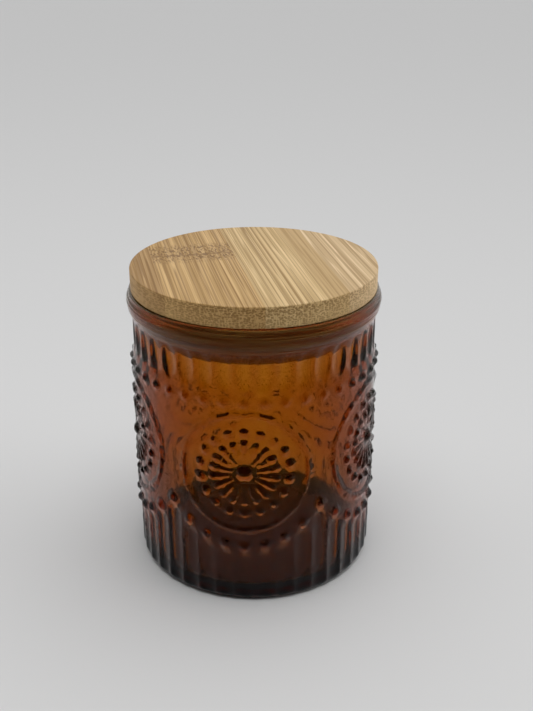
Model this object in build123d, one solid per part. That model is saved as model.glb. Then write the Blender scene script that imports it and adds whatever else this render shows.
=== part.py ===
from build123d import *
import os
from math import cos, degrees, radians, sin, sqrt

# An empty pressed-glass candle jar with a plug lid of glued bamboo strips and a finned seal ring.
# Millimetres. Origin: centre of the base, on the surface the jar stands on. +Z is up. One medallion faces -Y.

os.makedirs("parts", exist_ok=True)

# ---- Jar body ----
JAR_HEIGHT = 93.8
BORE_RADIUS = 35.6
FLOOR_THICKNESS = 3.8
FLOOR_FILLET = 2.0
WALL_RADIUS = 39.3
NECK_RADIUS = 38.85
WALL_TOP_Z = 72.6
NECK_BOTTOM_Z = 75.2
NECK_TOP_Z = 85.2
HEEL_HEIGHT = 3.2
HEEL_WIDTH = 3.0
PUSH_UP_RADIUS = 31.0
PUSH_UP_DEPTH = 0.7
LIP_ROUND = 0.8

# Rim, radius and height, from the neck up: a cove, a lower face, a narrow crest, a shoulder and a band
RIM_RADIUS = 40.5
COVE_MIDDLE = (39.2, 86.3)
RIM_LOWER_EDGE = (40.05, 88.0)
CREST_LOW = (RIM_RADIUS, 90.5)
CREST_HIGH = (RIM_RADIUS, 91.0)
RIM_SHOULDER = (40.15, 92.1)
BAND_RADIUS = 39.75
BAND_FOOT_Z = 92.5

# ---- Relief: how many of each, and where ----
MEDALLIONS = 5
COLUMNS_PER_MEDALLION = 8
COLUMNS = MEDALLIONS * COLUMNS_PER_MEDALLION
MEDALLION_PITCH = 360 / MEDALLIONS
COLUMN_PITCH = 360 / COLUMNS

# Medallions
MEDALLION_Z = 47.0
RING_RADIUS = 20.0
RING_WIDTH = 1.5
RING_HEIGHT = 0.55
RAYS = 18
DOT_CIRCLE_RADIUS = 14.0
DOT_RADIUS = 1.35
DOT_HEIGHT = 1.05
RAY_TAIL_RADIUS = 4.3
RAY_HEAD_RADIUS = 9.95
RAY_TAIL_WIDTH = 0.5
RAY_HEAD_WIDTH = 2.0
RAY_SUNK = 0.15
DOME_RADIUS = 2.6
DOME_HEIGHT = 1.35

# Thumbprint ovals and the beads under them
OVAL_MIDDLE_Z = 80.1
OVAL_LENGTH = 11.6
OVAL_WIDTH = 5.8
OVAL_CUTTER_RADIUS = 4.6
BEAD_Z = 70.6
BEAD_RADIUS = 1.5
BEAD_HEIGHT = 1.15

# Swag of dots, a parabola between the medallions, and the scooped flutes under it
SWAG_LOW_Z = 20.9
SWAG_RISE = 12.4
SWAG_DOT_RADIUS = 1.75
SWAG_DOT_HEIGHT = 1.35
FLUTE_WIDTH = 5.9
FLUTE_CUTTER_RADIUS = 5.4
FLUTE_TOP_BELOW_DOT = 2.4

# How a cutter is trimmed: how thick the trimming block is, and how much it stands off the cut
TRIM_THICKNESS = 6.0
TRIM_SIDE = 0.1
TRIM_END = 1.0

# ---- Lid ----
LID_GAP = 0.1
LID_RADIUS = 39.0
LID_THICKNESS = 6.7
LID_EDGE_CHAMFER = 0.25
STRIP_WIDTH = 26.5
FIRST_GLUE_LINE = -31.0
GRAIN_TURN = 16.0
PLUG_RADIUS = 34.3
PLUG_DEPTH = 12.6
PLUG_EDGE_CHAMFER = 0.8

# ---- Seal ring and its groove ----
GROOVE_DEPTH = 1.7
GROOVE_TOP_BELOW_BOARD = 2.6
GROOVE_HEIGHT = 6.0
SEAL_FIT = 0.05
SEAL_FIN_CLEARANCE = 0.1
SEAL_FINS = 3
SEAL_BAND_BELOW_PLUG = 0.3
SEAL_FIN_ROOT = 0.35
SEAL_FIN_THICKNESS = 0.7
SEAL_FIN_RISE = 0.9
SEAL_FIN_TIP = 0.3

LID_BOTTOM_Z = JAR_HEIGHT + LID_GAP
BIG = 200.0
HALF_TURN_SHARE = cos(radians(45))


def around(shape, azimuth):
    """Turn a shape made on the -Y side by an azimuth in degrees, positive towards +X."""
    return Rot(0, 0, azimuth) * shape


def scoop_depth(width, cutter_radius, wall_radius):
    """Depth of a scoop of this width below the round wall, for a round cutter of this radius."""
    half = width / 2
    return (cutter_radius - sqrt(cutter_radius**2 - half**2)) - (wall_radius - sqrt(wall_radius**2 - half**2))


def offset_of(azimuth):
    """Azimuth offset in degrees from the nearest medallion."""
    return (azimuth + MEDALLION_PITCH / 2) % MEDALLION_PITCH - MEDALLION_PITCH / 2


def swag_z(offset):
    """Height of the swag dot at an azimuth offset in degrees from its medallion."""
    return SWAG_LOW_Z + SWAG_RISE * (offset / (MEDALLION_PITCH / 2)) ** 2


def corner_middle(centre, across, up):
    """Middle point of a quarter round about this centre, towards the given sides."""
    return (centre[0] + across * HALF_TURN_SHARE, centre[1] + up * HALF_TURN_SHARE)


def base_and_wall():
    """The section's edges from the middle of the base up the outside to the neck."""
    bearing_edge = (PUSH_UP_RADIUS + PUSH_UP_DEPTH, 0)
    heel_centre = (WALL_RADIUS - HEEL_WIDTH, HEEL_HEIGHT)
    heel_foot = (heel_centre[0], 0)
    wall_foot = (WALL_RADIUS, HEEL_HEIGHT)
    return [
        Line((0, PUSH_UP_DEPTH), (PUSH_UP_RADIUS, PUSH_UP_DEPTH)),
        Line((PUSH_UP_RADIUS, PUSH_UP_DEPTH), bearing_edge),
        Line(bearing_edge, heel_foot),
        ThreePointArc(heel_foot, corner_middle(heel_centre, HEEL_WIDTH, -HEEL_HEIGHT), wall_foot),
        Line(wall_foot, (WALL_RADIUS, WALL_TOP_Z)),
        Line((WALL_RADIUS, WALL_TOP_Z), (NECK_RADIUS, NECK_BOTTOM_Z)),
        Line((NECK_RADIUS, NECK_BOTTOM_Z), (NECK_RADIUS, NECK_TOP_Z)),
    ]


def rim():
    """The section's edges from the neck up the rim and over the lip to the bore."""
    band_foot = (BAND_RADIUS, BAND_FOOT_Z)
    lip_z = JAR_HEIGHT - LIP_ROUND
    outer_centre = (BAND_RADIUS - LIP_ROUND, lip_z)
    inner_centre = (BORE_RADIUS + LIP_ROUND, lip_z)
    outer_top = (outer_centre[0], JAR_HEIGHT)
    inner_top = (inner_centre[0], JAR_HEIGHT)
    return [
        ThreePointArc((NECK_RADIUS, NECK_TOP_Z), COVE_MIDDLE, RIM_LOWER_EDGE),
        Line(RIM_LOWER_EDGE, CREST_LOW),
        Line(CREST_LOW, CREST_HIGH),
        Line(CREST_HIGH, RIM_SHOULDER),
        Line(RIM_SHOULDER, band_foot),
        Line(band_foot, (BAND_RADIUS, lip_z)),
        ThreePointArc((BAND_RADIUS, lip_z), corner_middle(outer_centre, LIP_ROUND, LIP_ROUND), outer_top),
        Line(outer_top, inner_top),
        ThreePointArc(inner_top, corner_middle(inner_centre, -LIP_ROUND, LIP_ROUND), (BORE_RADIUS, lip_z)),
    ]


def bore_and_floor():
    """The section's edges from the lip down the bore and in across the floor."""
    corner = (BORE_RADIUS - FLOOR_FILLET, FLOOR_THICKNESS + FLOOR_FILLET)
    bore_foot = (BORE_RADIUS, corner[1])
    floor_edge = (corner[0], FLOOR_THICKNESS)
    return [
        Line((BORE_RADIUS, JAR_HEIGHT - LIP_ROUND), bore_foot),
        ThreePointArc(bore_foot, corner_middle(corner, FLOOR_FILLET, -FLOOR_FILLET), floor_edge),
        Line(floor_edge, (0, FLOOR_THICKNESS)),
        Line((0, FLOOR_THICKNESS), (0, PUSH_UP_DEPTH)),
    ]


def glass_blank():
    """The jar before its relief: one closed half section turned about Z."""
    section = make_face(Curve() + (base_and_wall() + rim() + bore_and_floor()))
    return revolve(Plane.XZ * section, Axis.Z, 360)


def near_wall(width, low_z, high_z):
    """A block round the -Y side of the wall that trims a cutter to the part that it uses."""
    block = Box(width + 2 * TRIM_SIDE, TRIM_THICKNESS, high_z - low_z + 2 * TRIM_END)
    return Pos(0, -WALL_RADIUS, (low_z + high_z) / 2) * block


def flute_cutter(offset):
    """A scooped flute from below the base to just under the swag dot at this offset."""
    depth = scoop_depth(FLUTE_WIDTH, FLUTE_CUTTER_RADIUS, WALL_RADIUS)
    axis_radius = WALL_RADIUS - depth + FLUTE_CUTTER_RADIUS
    top = swag_z(offset) - FLUTE_TOP_BELOW_DOT
    ball_z = top - FLUTE_WIDTH / 2
    low_z = -TRIM_END
    shaft = Pos(0, -axis_radius, (ball_z + low_z) / 2) * Cylinder(FLUTE_CUTTER_RADIUS, ball_z - low_z)
    ball = Pos(0, -axis_radius, ball_z) * Sphere(FLUTE_CUTTER_RADIUS)
    return (shaft + ball) & near_wall(FLUTE_WIDTH, 0, top)


def oval_cutter():
    """A thumbprint oval: a slice of a ring whose tube is the scoop's width and whose bend is its length."""
    depth = scoop_depth(OVAL_WIDTH, OVAL_CUTTER_RADIUS, NECK_RADIUS)
    half_length = OVAL_LENGTH / 2
    bend = (half_length**2 + depth**2) / (2 * depth)
    tube_ring = Torus(bend - OVAL_CUTTER_RADIUS, OVAL_CUTTER_RADIUS)
    upright = Pos(0, -(NECK_RADIUS - depth + bend), OVAL_MIDDLE_Z) * Rot(0, 90, 0) * tube_ring
    return upright & near_wall(OVAL_WIDTH, OVAL_MIDDLE_Z - half_length, OVAL_MIDDLE_Z + half_length)


def wall_ball(radius, height, azimuth, z):
    """A ball sunk in the wall so that its cap stands this high."""
    centre_radius = WALL_RADIUS - (radius - height)
    return around(Pos(0, -centre_radius, z) * Sphere(radius), azimuth)


def arc_to_azimuth(arc):
    """Azimuth in degrees of a distance measured round the wall."""
    return degrees(arc / WALL_RADIUS)


def medallion_ring():
    """The medallion's raised outer ring: a ring cut straight in, kept only where it stands on the wall."""
    half_width = RING_WIDTH / 2
    side = WALL_RADIUS * sin(RING_RADIUS / WALL_RADIUS)
    squash = cos(RING_RADIUS / WALL_RADIUS)
    outer = Ellipse(side + half_width * squash, RING_RADIUS + half_width)
    inner = Ellipse(side - half_width * squash, RING_RADIUS - half_width)
    tube = extrude(Plane.XZ * (outer - inner), BIG / 2)
    skin_outer = Cylinder(WALL_RADIUS + RING_HEIGHT, BIG)
    skin_inner = Cylinder(WALL_RADIUS - RING_HEIGHT, BIG)
    return Pos(0, 0, MEDALLION_Z) * (tube & (skin_outer - skin_inner))


def medallion_ray(angle):
    """One drop-shaped ray, thin at its tail and round at its head, laid on the wall."""
    length = RAY_HEAD_RADIUS - RAY_TAIL_RADIUS
    tail = RAY_TAIL_WIDTH / 2
    head = RAY_HEAD_WIDTH / 2
    cone = Cone(tail, head, length, align=(Align.CENTER, Align.CENTER, Align.MIN))
    drop = cone + Pos(0, 0, length) * Sphere(head)
    across = sin(radians(angle))
    up = cos(radians(angle))
    middle = (RAY_HEAD_RADIUS + RAY_TAIL_RADIUS) / 2
    laid = Rot(0, angle, 0) * Pos(0, 0, -length / 2) * drop
    chord_drop = (length / 2 * across) ** 2 / (2 * WALL_RADIUS)
    placed = Pos(0, -(WALL_RADIUS - RAY_SUNK + chord_drop / 2), MEDALLION_Z + middle * up) * laid
    return around(placed, arc_to_azimuth(middle * across))


def medallion():
    """Everything raised on the medallion that faces -Y."""
    pieces = [medallion_ring()]
    pieces.append(wall_ball(DOME_RADIUS, DOME_HEIGHT, 0, MEDALLION_Z))
    for ray in range(RAYS):
        angle = ray * 360 / RAYS
        azimuth = arc_to_azimuth(DOT_CIRCLE_RADIUS * sin(radians(angle)))
        dot_z = MEDALLION_Z + DOT_CIRCLE_RADIUS * cos(radians(angle))
        pieces.append(wall_ball(DOT_RADIUS, DOT_HEIGHT, azimuth, dot_z))
        pieces.append(medallion_ray(angle))
    return pieces


def raised_relief():
    """Every raised piece of relief, all round the jar."""
    pieces = []
    front = medallion()
    for turn in range(MEDALLIONS):
        pieces += [around(piece, turn * MEDALLION_PITCH) for piece in front]
    for column in range(COLUMNS):
        azimuth = column * COLUMN_PITCH
        pieces.append(wall_ball(BEAD_RADIUS, BEAD_HEIGHT, azimuth, BEAD_Z))
        pieces.append(wall_ball(SWAG_DOT_RADIUS, SWAG_DOT_HEIGHT, azimuth, swag_z(offset_of(azimuth))))
    return pieces


def scooped_relief():
    """Every flute and thumbprint oval cutter, all round the jar."""
    cutters = []
    oval = oval_cutter()
    for column in range(COLUMNS):
        azimuth = column * COLUMN_PITCH
        cutters.append(around(flute_cutter(offset_of(azimuth)), azimuth))
        cutters.append(around(oval, azimuth))
    return cutters


def glass_jar():
    """The pressed glass jar in one piece."""
    scooped = glass_blank() - scooped_relief()
    return scooped + raised_relief()


def turned(radius, low_z, high_z, chamfer_low, chamfer_high):
    """A turned disc with small chamfers on its edges, or a square edge where the chamfer is 0."""
    points = [(0, low_z), (radius - chamfer_low, low_z)]
    if chamfer_low > 0:
        points.append((radius, low_z + chamfer_low))
    points.append((radius, high_z - chamfer_high))
    if chamfer_high > 0:
        points.append((radius - chamfer_high, high_z))
    points.append((0, high_z))
    section = make_face(Polyline(*points, close=True))
    return revolve(Plane.XZ * section, Axis.Z, 360)


def strip_of(disc, low, high):
    """The part of a disc that one glued strip makes, between two glue lines across the grain."""
    slab = Pos((low + high) / 2, 0, 0) * Box(high - low, BIG, 2 * BIG)
    return Rot(0, 0, GRAIN_TURN) * (disc & slab)


def board_strips():
    """The strips of the round board, cut along its glue lines."""
    board = turned(LID_RADIUS, LID_BOTTOM_Z, LID_BOTTOM_Z + LID_THICKNESS, LID_EDGE_CHAMFER, LID_EDGE_CHAMFER)
    lines = [-BIG] + [FIRST_GLUE_LINE + STRIP_WIDTH * step for step in range(3)] + [BIG]
    return [strip_of(board, low, high) for low, high in zip(lines, lines[1:])]


def groove_top_z():
    """Upper side of the seal's groove."""
    return LID_BOTTOM_Z - GROOVE_TOP_BELOW_BOARD


def plug_strips():
    """The strips of the plug under the board, with the groove for the seal ring."""
    plug = turned(PLUG_RADIUS, LID_BOTTOM_Z - PLUG_DEPTH, LID_BOTTOM_Z, PLUG_EDGE_CHAMFER, 0)
    groove = Cylinder(LID_RADIUS, GROOVE_HEIGHT) - Cylinder(PLUG_RADIUS - GROOVE_DEPTH, GROOVE_HEIGHT)
    plug = plug - Pos(0, 0, groove_top_z() - GROOVE_HEIGHT / 2) * groove
    lines = [-BIG, -STRIP_WIDTH / 2, STRIP_WIDTH / 2, BIG]
    return [strip_of(plug, low, high) for low, high in zip(lines, lines[1:])]


def seal_ring():
    """The soft ring: a band in the groove, and fins that lean up and out to the bore."""
    inner = PLUG_RADIUS - GROOVE_DEPTH + SEAL_FIT
    band_outer = PLUG_RADIUS - SEAL_BAND_BELOW_PLUG
    fin_outer = BORE_RADIUS - SEAL_FIN_CLEARANCE
    top = groove_top_z() - SEAL_FIT
    bottom = groove_top_z() - GROOVE_HEIGHT + SEAL_FIT
    pitch = (top - bottom) / SEAL_FINS
    points = [(inner, bottom), (band_outer, bottom)]
    for fin in range(SEAL_FINS):
        root = bottom + pitch * fin + SEAL_FIN_ROOT
        points.append((band_outer, root))
        points.append((fin_outer, root + SEAL_FIN_RISE))
        points.append((fin_outer, root + SEAL_FIN_RISE + SEAL_FIN_TIP))
        points.append((band_outer, root + SEAL_FIN_THICKNESS))
    points += [(band_outer, top), (inner, top)]
    section = make_face(Polyline(*points, close=True))
    return revolve(Plane.XZ * section, Axis.Z, 360)


export_step(glass_jar(), "parts/glass_jar.step")
export_step(seal_ring(), "parts/seal_ring.step")
for number, strip in enumerate(board_strips(), start=1):
    export_step(strip, f"parts/lid_strip_{number}.step")
for number, strip in enumerate(plug_strips(), start=1):
    export_step(strip, f"parts/plug_strip_{number}.step")
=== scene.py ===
"""Looks of an empty pressed-glass candle jar with a plug lid of glued bamboo strips.

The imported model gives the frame: every piece here is in metres in that frame and rides on one of its bodies.
"""

import logging
from dataclasses import dataclass, field
from enum import Enum
from math import ceil, cos, hypot, pi, radians, sin

import bmesh
import bpy
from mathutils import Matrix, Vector, geometry


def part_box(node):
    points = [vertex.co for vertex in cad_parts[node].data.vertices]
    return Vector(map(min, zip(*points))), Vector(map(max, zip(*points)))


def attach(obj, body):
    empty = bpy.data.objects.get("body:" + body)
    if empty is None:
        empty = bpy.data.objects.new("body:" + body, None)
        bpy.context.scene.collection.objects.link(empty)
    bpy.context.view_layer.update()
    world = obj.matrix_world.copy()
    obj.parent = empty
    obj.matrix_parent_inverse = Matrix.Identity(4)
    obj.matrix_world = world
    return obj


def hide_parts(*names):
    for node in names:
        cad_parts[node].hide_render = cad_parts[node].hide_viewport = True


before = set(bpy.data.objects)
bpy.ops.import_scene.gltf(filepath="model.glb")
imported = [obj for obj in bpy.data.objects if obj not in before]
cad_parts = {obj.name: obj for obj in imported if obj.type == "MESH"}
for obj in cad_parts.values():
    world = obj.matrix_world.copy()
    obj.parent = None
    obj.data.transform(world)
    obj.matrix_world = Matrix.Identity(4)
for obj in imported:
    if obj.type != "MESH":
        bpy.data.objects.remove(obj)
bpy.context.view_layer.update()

logging.basicConfig(level=logging.INFO, format="%(name)s: %(message)s")
LOG = logging.getLogger("candle jar")

MM = 0.001
Point = tuple[float, float]
Triple = tuple[float, float, float]
Colour = tuple[float, float, float, float]
WHITE: Colour = (1.0, 1.0, 1.0, 1.0)


# ---------------------------------------------------------------------------------------------------------
# Sums written as plain arithmetic, for geometry trees and for material trees
# ---------------------------------------------------------------------------------------------------------


@dataclass(frozen=True)
class Term:
    """One number that flows through a node tree and can be used in plain arithmetic."""

    tree: bpy.types.NodeTree
    socket: bpy.types.NodeSocket

    def math(self, operation: str, *others: "Term | float") -> "Term":
        """Add one Math node.

        Args:
            operation: Blender's name for the operation.
            others: the operation's second and third numbers.

        Returns:
            The node's result.
        """
        node = self.tree.nodes.new("ShaderNodeMath")
        node.operation = operation
        for place, value in enumerate((self, *others)):
            if isinstance(value, Term):
                self.tree.links.new(value.socket, node.inputs[place])
            else:
                node.inputs[place].default_value = value
        return Term(self.tree, node.outputs[0])

    def __add__(self, other: "Term | float") -> "Term":
        """Sum."""
        return self.math("ADD", other)

    def __sub__(self, other: "Term | float") -> "Term":
        """Difference."""
        return self.math("SUBTRACT", other)

    def __rsub__(self, other: float) -> "Term":
        """A plain number less this."""
        return self.math("MULTIPLY_ADD", -1.0, other)

    def __mul__(self, other: "Term | float") -> "Term":
        """Product."""
        return self.math("MULTIPLY", other)

    def __truediv__(self, other: "Term | float") -> "Term":
        """Quotient."""
        return self.math("DIVIDE", other)

    __radd__ = __add__
    __rmul__ = __mul__

    def above(self, low: "Term | float") -> "Term":
        """This, but no less than low."""
        return self.math("MAXIMUM", low)

    def below(self, high: "Term | float") -> "Term":
        """This, but no more than high."""
        return self.math("MINIMUM", high)

    def squared(self) -> "Term":
        """This times itself."""
        return self.math("MULTIPLY", self)

    def root(self) -> "Term":
        """Square root, 0 for a negative number."""
        return self.above(0.0).math("SQRT")

    def size(self) -> "Term":
        """Distance from 0."""
        return self.math("ABSOLUTE")

    def nearest(self) -> "Term":
        """Nearest whole number."""
        return self.math("ROUND")

    def ramp(self, start: float, end: float) -> "Term":
        """A smooth rise from 0 to 1.

        Args:
            start: where it begins.
            end: where it is complete, which may lie below the start.

        Returns:
            The rise.
        """
        node = self.tree.nodes.new("ShaderNodeMapRange")
        node.interpolation_type = "SMOOTHSTEP"
        self.tree.links.new(self.socket, node.inputs["Value"])
        node.inputs["From Min"].default_value = start
        node.inputs["From Max"].default_value = end
        return Term(self.tree, node.outputs["Result"])


Spot = tuple[Term, Term, Term]


def parted(tree: bpy.types.NodeTree, place: bpy.types.NodeSocket) -> Spot:
    """The three numbers of a place.

    Args:
        tree: the tree that it belongs to.
        place: the place's socket.

    Returns:
        Its numbers along X, Y and Z.
    """
    parts = tree.nodes.new("ShaderNodeSeparateXYZ")
    tree.links.new(place, parts.inputs[0])
    return tuple(Term(tree, parts.outputs[axis]) for axis in "XYZ")


def joined(**along: Term) -> bpy.types.NodeSocket:
    """A place or a turn made of its numbers.

    Args:
        along: the numbers, under X, Y and Z; one that isn't given is 0.

    Returns:
        The socket that carries it.
    """
    tree = next(iter(along.values())).tree
    whole = tree.nodes.new("ShaderNodeCombineXYZ")
    for axis, term in along.items():
        tree.links.new(term.socket, whole.inputs[axis])
    return whole.outputs[0]


def reach(across: Term, along: Term) -> Term:
    """Straight distance of two sides."""
    return (across.squared() + along.squared()).root()


def cap(distance: Term, foot: Term, rise: Term) -> Term:
    """Height of a round cap.

    Args:
        distance: distance from the cap's middle.
        foot: radius of its foot.
        rise: height of its top.

    Returns:
        The height there, 0 outside the foot.
    """
    ball = (foot.squared() + rise.squared()) / (rise * 2.0)
    return ((ball.squared() - distance.squared()).root() - (ball - rise)).above(0.0)


def bump(share: Term) -> Term:
    """Round section: 1 in the middle and 0 from share 1 outwards."""
    return (1.0 - share.squared()).root()


# ---------------------------------------------------------------------------------------------------------
# The pressed glass jar
# ---------------------------------------------------------------------------------------------------------


@dataclass(frozen=True)
class Stop:
    """A point of the jar's section: radius and height, and how much of the relief stands there."""

    radius: float
    height: float
    share: float = 0.0


def arc_stops(
    centre: Point, radii: Point, start: float, end: float, count: int, shares: Point = (0, 0)
) -> list[Stop]:
    """Points of a round stretch of the section.

    Args:
        centre: radius and height of the arc's centre.
        radii: its half axes, across and up.
        start: first angle in degrees, from outwards, turning up.
        end: last angle.
        count: how many steps it takes.
        shares: the relief's share at its two ends.

    Returns:
        The stops, both ends included.
    """
    stops = []
    for step in range(count + 1):
        part = step / count
        angle = radians(start + (end - start) * part)
        share = shares[0] + (shares[1] - shares[0]) * part
        stops.append(Stop(centre[0] + radii[0] * cos(angle), centre[1] + radii[1] * sin(angle), share))
    return stops


def level_stops(radius: float, start: float, end: float, count: int, share: float = 0.0) -> list[Stop]:
    """Points at equal steps up or down a straight wall.

    Args:
        radius: the wall's radius.
        start: the height it starts from, which gets no point.
        end: the height of the last point.
        count: how many steps it takes.
        share: the relief's share there.

    Returns:
        The stops.
    """
    return [Stop(radius, start + (end - start) * row / count, share) for row in range(1, count + 1)]


def hoop(middle: Point, half_width: float, half_height: float, count: int) -> list[Point]:
    """Points of an oval, clockwise from its top.

    Args:
        middle: its middle.
        half_width: half its width.
        half_height: half its height.
        count: how many points it has.

    Returns:
        The points.
    """
    turns = [2 * pi * step / count for step in range(count)]
    return [(middle[0] + half_width * sin(turn), middle[1] + half_height * cos(turn)) for turn in turns]


def eased(corners: list[Point], soft: float) -> list[Stop]:
    """Straight runs between corners, each inner corner broken by three close stops.

    Args:
        corners: radius and height of each corner.
        soft: how far from a corner its outer stops lie.

    Returns:
        The stops, both ends included.
    """
    stops = [Stop(*corners[0])]
    for before, corner, after in zip(corners, corners[1:], corners[2:]):
        sides = []
        for other in (before, after):
            run = (other[0] - corner[0], other[1] - corner[1])
            share = soft / hypot(*run)
            sides.append((corner[0] + run[0] * share, corner[1] + run[1] * share))
        middle = tuple(0.5 * corner[axis] + 0.25 * (sides[0][axis] + sides[1][axis]) for axis in (0, 1))
        stops += [Stop(*sides[0]), Stop(*middle), Stop(*sides[1])]
    return stops + [Stop(*corners[-1])]


@dataclass
class PointSheet:
    """Points of a flat sheet that keeps a least distance between them."""

    cell: float = 0.6
    points: list[Point] = field(default_factory=list)
    grid: dict[tuple[int, int], list[Point]] = field(default_factory=dict)

    def add(self, point: Point, gap: float) -> bool:
        """Add a point unless another is too near.

        Args:
            point: the point.
            gap: the least distance from those that are there.

        Returns:
            Whether it was added.
        """
        home = (int(point[0] // self.cell), int(point[1] // self.cell))
        spread = ceil(gap / self.cell)
        for across in range(home[0] - spread, home[0] + spread + 1):
            for up in range(home[1] - spread, home[1] + spread + 1):
                for other in self.grid.get((across, up), ()):
                    if hypot(point[0] - other[0], point[1] - other[1]) < gap:
                        return False
        self.grid.setdefault(home, []).append(point)
        self.points.append(point)
        return True


@dataclass
class GlassJar:
    """The jar: one closed wall with its relief pressed into the outside. Sizes are in millimetres."""

    height: float = 93.8
    bore: float = 35.6
    floor: float = 3.8
    floor_round: float = 2.0
    wall: float = 39.3
    neck: float = 38.85
    wall_top: float = 72.6
    neck_bottom: float = 75.2
    neck_top: float = 85.2
    rim: float = 40.48
    rim_edge: Point = (40.05, 88.0)
    crest: Point = (90.5, 91.0)
    shoulder: Point = (40.15, 92.1)
    band: Point = (39.75, 92.5)
    heel_height: float = 3.2
    heel_width: float = 3.0
    push_up_radius: float = 31.0
    push_up: float = 0.7
    lip: float = 0.8

    medallions: int = 5
    columns_each: int = 8
    medallion_z: float = 47.0
    ring_radius: float = 20.0
    ring_width: float = 1.6
    ring_rise: float = 0.75
    rays: int = 18
    dot_circle: float = 14.0
    dot: float = 1.33
    dot_rise: float = 1.05
    ray_tail: float = 4.3
    ray_head: float = 9.95
    ray_tail_width: float = 0.6
    ray_head_width: float = 2.05
    ray_rise: float = 0.9
    dome: float = 2.4
    dome_rise: float = 1.33

    oval_z: float = 80.1
    oval_length: float = 11.7
    oval_width: float = 5.9
    oval_depth: float = 0.92
    bead_z: float = 70.6
    bead: float = 1.47
    bead_rise: float = 1.15

    swag_low: float = 20.9
    swag_rise: float = 12.4
    swag: float = 1.71
    swag_dot_rise: float = 1.33
    flute_drop: float = 2.3
    flute_width: float = 5.95
    flute_depth: float = 0.78
    flute_end: float = 3.4

    wall_rows: int = 55
    neck_rows: int = 8
    bore_rows: int = 12
    cove_rows: int = 6
    ring_points: int = 144
    column_steps: int = 6
    fill_step: float = 1.05

    @property
    def columns(self) -> int:
        """Columns of beads, ovals and flutes all round."""
        return self.medallions * self.columns_each

    @property
    def pitch(self) -> float:
        """Arc from one column to the next, round the wall."""
        return 2 * pi * self.wall / self.columns

    @property
    def first_edge(self) -> float:
        """Arc of the sector's left edge: halfway between two columns."""
        return -(self.columns_each / 2 - 0.5) * self.pitch

    @property
    def last_edge(self) -> float:
        """Arc of the sector's right edge."""
        return self.first_edge + self.columns_each * self.pitch

    def swag_z(self, column: int) -> float:
        """Height of a column's swag dot."""
        return self.swag_low + self.swag_rise * (column / (self.columns_each / 2)) ** 2

    def section(self) -> list[Stop]:
        """The half section, from the middle of the base up the outside and down the bore to the floor.

        Returns:
            Its stops, in that order.
        """
        ring_foot = self.push_up_radius + self.push_up
        heel = (self.wall - self.heel_width, self.heel_height)
        under = (0.0, 10.0, 22.0, self.push_up_radius - 0.4, self.push_up_radius)
        stops = [Stop(radius, self.push_up) for radius in under]
        stops += [Stop(radius, 0.0) for radius in (ring_foot, ring_foot + 0.3, 34.0, heel[0] - 0.5)]
        stops += arc_stops(heel, (self.heel_width, self.heel_height), -90, 0, 7, (1.0, 1.0))
        stops += level_stops(self.wall, self.heel_height, self.wall_top, self.wall_rows, 1.0)
        stops += [Stop(self.neck, self.neck_bottom, 1.0)]
        stops += level_stops(self.neck, self.neck_bottom, self.neck_top, self.neck_rows, 1.0)
        stops += self.rim_stops()
        lip_z = self.height - self.lip
        stops += arc_stops((self.band[0] - self.lip, lip_z), (self.lip, self.lip), 0, 90, 5)
        stops += arc_stops((self.bore + self.lip, lip_z), (self.lip, self.lip), 90, 180, 5)
        corner = (self.bore - self.floor_round, self.floor + self.floor_round)
        stops += level_stops(self.bore, lip_z, corner[1], self.bore_rows)[:-1]
        stops += arc_stops(corner, (self.floor_round, self.floor_round), 0, -90, 7)
        stops += [Stop(radius, self.floor) for radius in (30.0, 24.0, 16.0, 8.0, 0.0)]
        return stops

    def rim_stops(self) -> list[Stop]:
        """The rim from the neck up: a cove, a lower face, a narrow crest, a shoulder and a band.

        Returns:
            Its stops, without the top of the band.
        """
        edge_radius, edge_z = self.rim_edge
        stops = []
        for step in range(1, self.cove_rows):
            part = step / self.cove_rows
            out = (edge_radius - self.neck) * part**1.4
            up = self.neck_top + (edge_z - self.neck_top) * part
            stops.append(Stop(self.neck + out, up, 1 - min(1, 2 * part)))
        last = stops[-1]
        corners = [(last.radius, last.height), self.rim_edge]
        corners += [(self.rim, up) for up in self.crest]
        corners += [self.shoulder, self.band, (self.band[0], self.height - self.lip)]
        return stops[:-1] + eased(corners, 0.14)[:-1]

    def lay_disc(self, sheet: PointSheet, middle: Point, radius: float, around: int) -> None:
        """Rings of points over a round cap and just outside its foot.

        Args:
            sheet: the sheet to add to.
            middle: the cap's middle on the sheet.
            radius: its foot's radius.
            around: how many points its outer rings have.
        """
        sheet.add(middle, 0.1)
        rings = [(0.3, 0.4), (0.56, 0.7), (0.76, 0.9), (0.89, 1.0), (0.97, 1.0), (1.0, 1.0)]
        for share, part in rings + [(1.0 + 0.12 / radius, 1.0)]:
            count = max(6, int(around * part))
            for step in range(count):
                angle = 2 * pi * step / count
                spot = (middle[0] + radius * share * cos(angle), middle[1] + radius * share * sin(angle))
                sheet.add(spot, 0.05)

    def lay_medallion(self, sheet: PointSheet) -> None:
        """Points that follow the medallion's dome, rays, dots and ring.

        Args:
            sheet: the sheet to add to.
        """
        self.lay_disc(sheet, (0.0, self.medallion_z), self.dome, 26)
        for ray in range(self.rays):
            angle = 2 * pi * ray / self.rays
            out = (sin(angle), cos(angle))
            dot = (out[0] * self.dot_circle, self.medallion_z + out[1] * self.dot_circle)
            self.lay_disc(sheet, dot, self.dot, 20)
            self.lay_ray(sheet, out)
        half = self.ring_width / 2
        for share in (-1.07, -1.0, -0.94, -0.78, -0.4, 0.0, 0.4, 0.78, 0.94, 1.0, 1.07):
            radius = self.ring_radius + half * share
            for spot in hoop((0.0, self.medallion_z), radius, radius, self.ring_points):
                sheet.add(spot, 0.04)

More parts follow.
